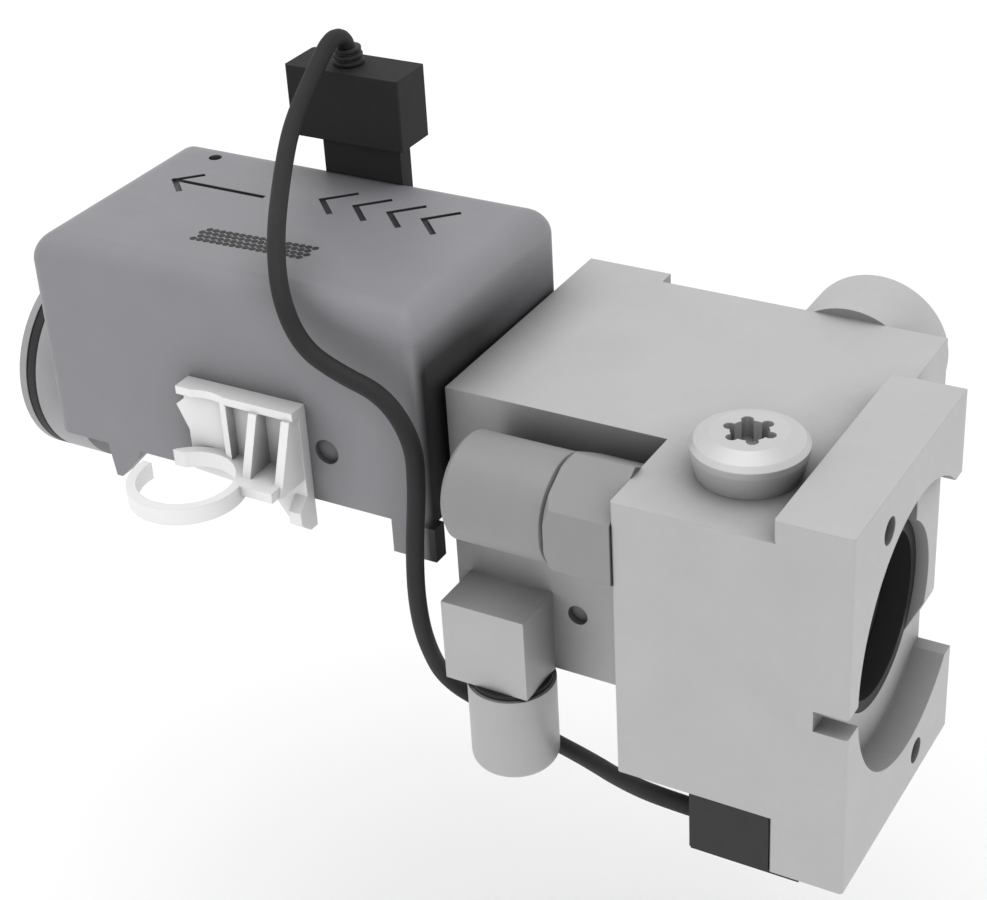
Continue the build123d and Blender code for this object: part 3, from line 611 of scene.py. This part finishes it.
@dataclass
class SensorLead:
    """The sensor under the block, its cable, and the plug on the housing."""

    frame: dict[str, Any]
    radius: float = 1.0 * MM
    length: float = 0.148
    boot_foot: float = 1.85 * MM
    boot_rise: float = 0.5 * MM
    boot_sink: float = 0.55 * MM
    boot_waist: float = 0.3 * MM
    boot_gap: float = 0.25 * MM
    boot_edge: float = 0.08 * MM
    boot_spread: float = 1.18
    boot_sides: int = 32
    boot_ribs: int = 2
    smooth_angle: float = 40.0
    port: Point = (47.4, 17.9, 21.7)
    route: Sequence[Point] = (
        (-27.3, 40.2, 63.2), (-27.3, 40.2, 65.0), (-27.3, 38.9, 66.3), (-27.4, 37.0, 66.4),
        (-27.5, 34.9, 64.9), (-27.2, 31.4, 62.7), (-26.2, 26.2, 60.2), (-23.0, 19.0, 57.0),
        (-18.6, 11.0, 54.4), (-15.0, 6.0, 50.6), (-12.4, 5.4, 45.8), (-8.0, 5.4, 43.7),
        (-2.6, 5.4, 42.3), (0.5, 5.4, 37.6), (0.5, 5.4, 32.0), (-0.6, 5.5, 23.6),
        (-1.6, 6.6, 15.8), (-3.0, 9.8, 7.8), (-3.6, 14.2, -0.6), (0.6, 17.4, -5.4),
        (8.6, 16.6, -6.8), (16.0, 12.4, -4.2), (22.8, 7.2, -0.8), (29.4, 3.2, 2.3), (34.2, 3.2, 2.3),
    )

    def points(self) -> list[Point]:
        """Return the route from the sensor to the plug, in metres, in the row's frame."""
        placed = [tuple((value - start) * MM for value, start in zip(point, self.port)) for point in self.route]
        return placed[::-1]

    def boot(self) -> bpy.types.Object:
        """Mould the ribbed rubber boot where the cable leaves the plug.

        Returns:
            The boot.
        """
        x, y, z = self.points()[-1]
        deselect()
        bpy.ops.mesh.primitive_cylinder_add(vertices=self.boot_sides, radius=self.boot_foot, depth=self.boot_rise,
                                            location=(x, y, z + self.boot_rise / 2 - self.boot_sink))
        boot = bpy.context.object
        for _ in range(self.boot_ribs):
            self.grow_rib(boot)
        bpy.ops.object.mode_set(mode="OBJECT")
        settle(boot, "plug_boot", "housing", RUBBER.build())
        rounding = boot.modifiers.new("rounding", "BEVEL")
        rounding.width = self.boot_edge
        rounding.segments = 2
        rounding.limit_method = "ANGLE"
        deselect()
        boot.select_set(True)
        bpy.context.view_layer.objects.active = boot
        bpy.ops.object.modifier_apply(modifier=rounding.name)
        bpy.ops.object.shade_smooth_by_angle(angle=radians(self.smooth_angle))
        deselect()
        return boot

    def grow_rib(self, boot: bpy.types.Object) -> None:
        """Cut one waist and raise one narrower rib on top of the boot.

        Args:
            boot: the boot, the active object.
        """
        bpy.ops.object.mode_set(mode="EDIT")
        bpy.ops.mesh.select_mode(type="FACE")
        bpy.ops.mesh.select_all(action="DESELECT")
        mesh = bmesh.from_edit_mesh(boot.data)
        mesh.faces.ensure_lookup_table()
        top = max(mesh.faces, key=lambda face: face.calc_center_median().z)
        top.select_set(True)
        bmesh.update_edit_mesh(boot.data)
        bpy.ops.mesh.inset(thickness=self.boot_waist, depth=0.0)
        self.raise_face(self.boot_gap)
        bpy.ops.mesh.inset(thickness=self.boot_edge, depth=0.0)
        bpy.ops.transform.resize(value=(self.boot_spread, self.boot_spread, 1.0))
        self.raise_face(self.boot_rise)

    @staticmethod
    def raise_face(lift: float) -> None:
        """Extrude the selected face straight up by this many metres."""
        bpy.ops.mesh.extrude_region_move(TRANSFORM_OT_translate={"value": (0.0, 0.0, lift)})

    def cable(self, boot: bpy.types.Object) -> bpy.types.Object:
        """Make the cable on a smooth curve.

        Args:
            boot: the boot at the plug's end; not used.

        Returns:
            The cable's curve object.
        """
        points = self.points()
        data = bpy.data.curves.new("cable", "CURVE")
        data.dimensions = "3D"
        spline = data.splines.new("NURBS")
        spline.points.add(len(points) - 1)
        for knot, point in zip(spline.points, points):
            knot.co = (*point, 1.0)
        spline.order_u = 3
        spline.use_endpoint_u = True
        spline.resolution_u = 8
        data.bevel_depth = self.radius
        data.bevel_resolution = 5
        data.use_fill_caps = True
        lead = bpy.data.objects.new("cable", data)
        bpy.context.scene.collection.objects.link(lead)
        lead.data.materials.append(SHEATH.build())
        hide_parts("sensor_cable")
        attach(lead, "housing")
        return lead

    def build(self) -> None:
        """Dress the sensor and the plug, and lay the cable."""
        dress(self.frame, ["sensor_body"], SENSOR.build())
        dress(self.frame, ["cable_plug"], PLUG.build())
        self.cable(self.boot())


@dataclass
class PipeClip:
    """The white clip on the front of the housing."""

    frame: dict[str, Any]

    def build(self) -> None:
        """Dress the clip."""
        dress(self.frame, ["pipe_clip"], WHITE.build())


@dataclass
class Studio:
    """Floor, light and camera."""

    eye: Point = (60.34 * MM, -172.68 * MM, 129.27 * MM)
    yaw: float = 31.35
    pitch: float = 30.85
    roll: float = -3.56
    lens: float = 78.69
    sensor_width: float = 36.0
    near_clip: float = 0.005
    floor_drop: float = 0.045
    sky: float = 0.92
    floor_side: float = 6.0
    floor_tone: float = 0.96
    floor_roughness: float = 0.9
    lamp_place: Point = (-0.12, -0.1, 1.0)
    lamp_side: float = 0.9
    lamp_power: float = 2.9

    def floor(self) -> None:
        """Lay a plain pale floor under the object."""
        low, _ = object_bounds()
        deselect()
        bpy.ops.mesh.primitive_plane_add(size=self.floor_side, location=(0.0, 0.0, low[2] - self.floor_drop))
        ground = bpy.context.object
        ground.name = "floor"
        graph = Graph("pale_floor")
        graph.shader.inputs["Base Color"].default_value = (*[self.floor_tone] * 3, 1.0)
        graph.shader.inputs["Roughness"].default_value = self.floor_roughness
        ground.data.materials.append(graph.material)
        ground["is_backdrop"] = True
        deselect()

    def lamp(self) -> None:
        """Hang the square soft light that faces the object from above."""
        data = bpy.data.lights.new("overhead", "AREA")
        data.size = self.lamp_side
        data.energy = self.lamp_power
        light = bpy.data.objects.new("overhead", data)
        light.location = self.lamp_place
        light.rotation_euler = (-Vector(self.lamp_place)).to_track_quat("-Z", "Y").to_euler()
        bpy.context.scene.collection.objects.link(light)

    def camera(self) -> None:
        """Set the camera at its place, turned by yaw, pitch and roll."""
        yaw, pitch, roll = radians(self.yaw), radians(self.pitch), radians(self.roll)
        ahead = Vector((-sin(yaw) * cos(pitch), cos(yaw) * cos(pitch), -sin(pitch)))
        right = Vector((cos(yaw), sin(yaw), 0.0))
        up = right.cross(ahead)
        side = cos(roll) * right + sin(roll) * up
        top = -sin(roll) * right + cos(roll) * up
        data = bpy.data.cameras.new("camera")
        data.lens = self.lens
        data.sensor_width = self.sensor_width
        data.clip_start = self.near_clip
        turned = Matrix((side, top, -ahead)).transposed().to_4x4()
        eye = bpy.data.objects.new("camera", data)
        eye.matrix_world = Matrix.Translation(self.eye) @ turned
        bpy.context.scene.collection.objects.link(eye)
        bpy.context.scene.camera = eye

    def world(self) -> None:
        """Light the scene evenly with a white sky."""
        sky = bpy.data.worlds.new("studio")
        sky.use_nodes = True
        back = sky.node_tree.nodes["Background"]
        back.inputs["Color"].default_value = (1.0, 1.0, 1.0, 1.0)
        back.inputs["Strength"].default_value = self.sky
        bpy.context.scene.world = sky
        bpy.context.scene.view_settings.view_transform = "Standard"

    def build(self) -> None:
        """Build the whole studio."""
        self.camera()
        self.world()
        self.floor()
        self.lamp()


def main() -> None:
    """Build the valve head round its frame."""
    logging.basicConfig(level=logging.INFO)
    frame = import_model()
    Studio().build()
    for part in (ValveBlock(frame), Actuator(frame), SensorLead(frame), PipeClip(frame)):
        part.build()
        log.info("built %s", type(part).__name__)


if __name__ == "__main__":
    main()
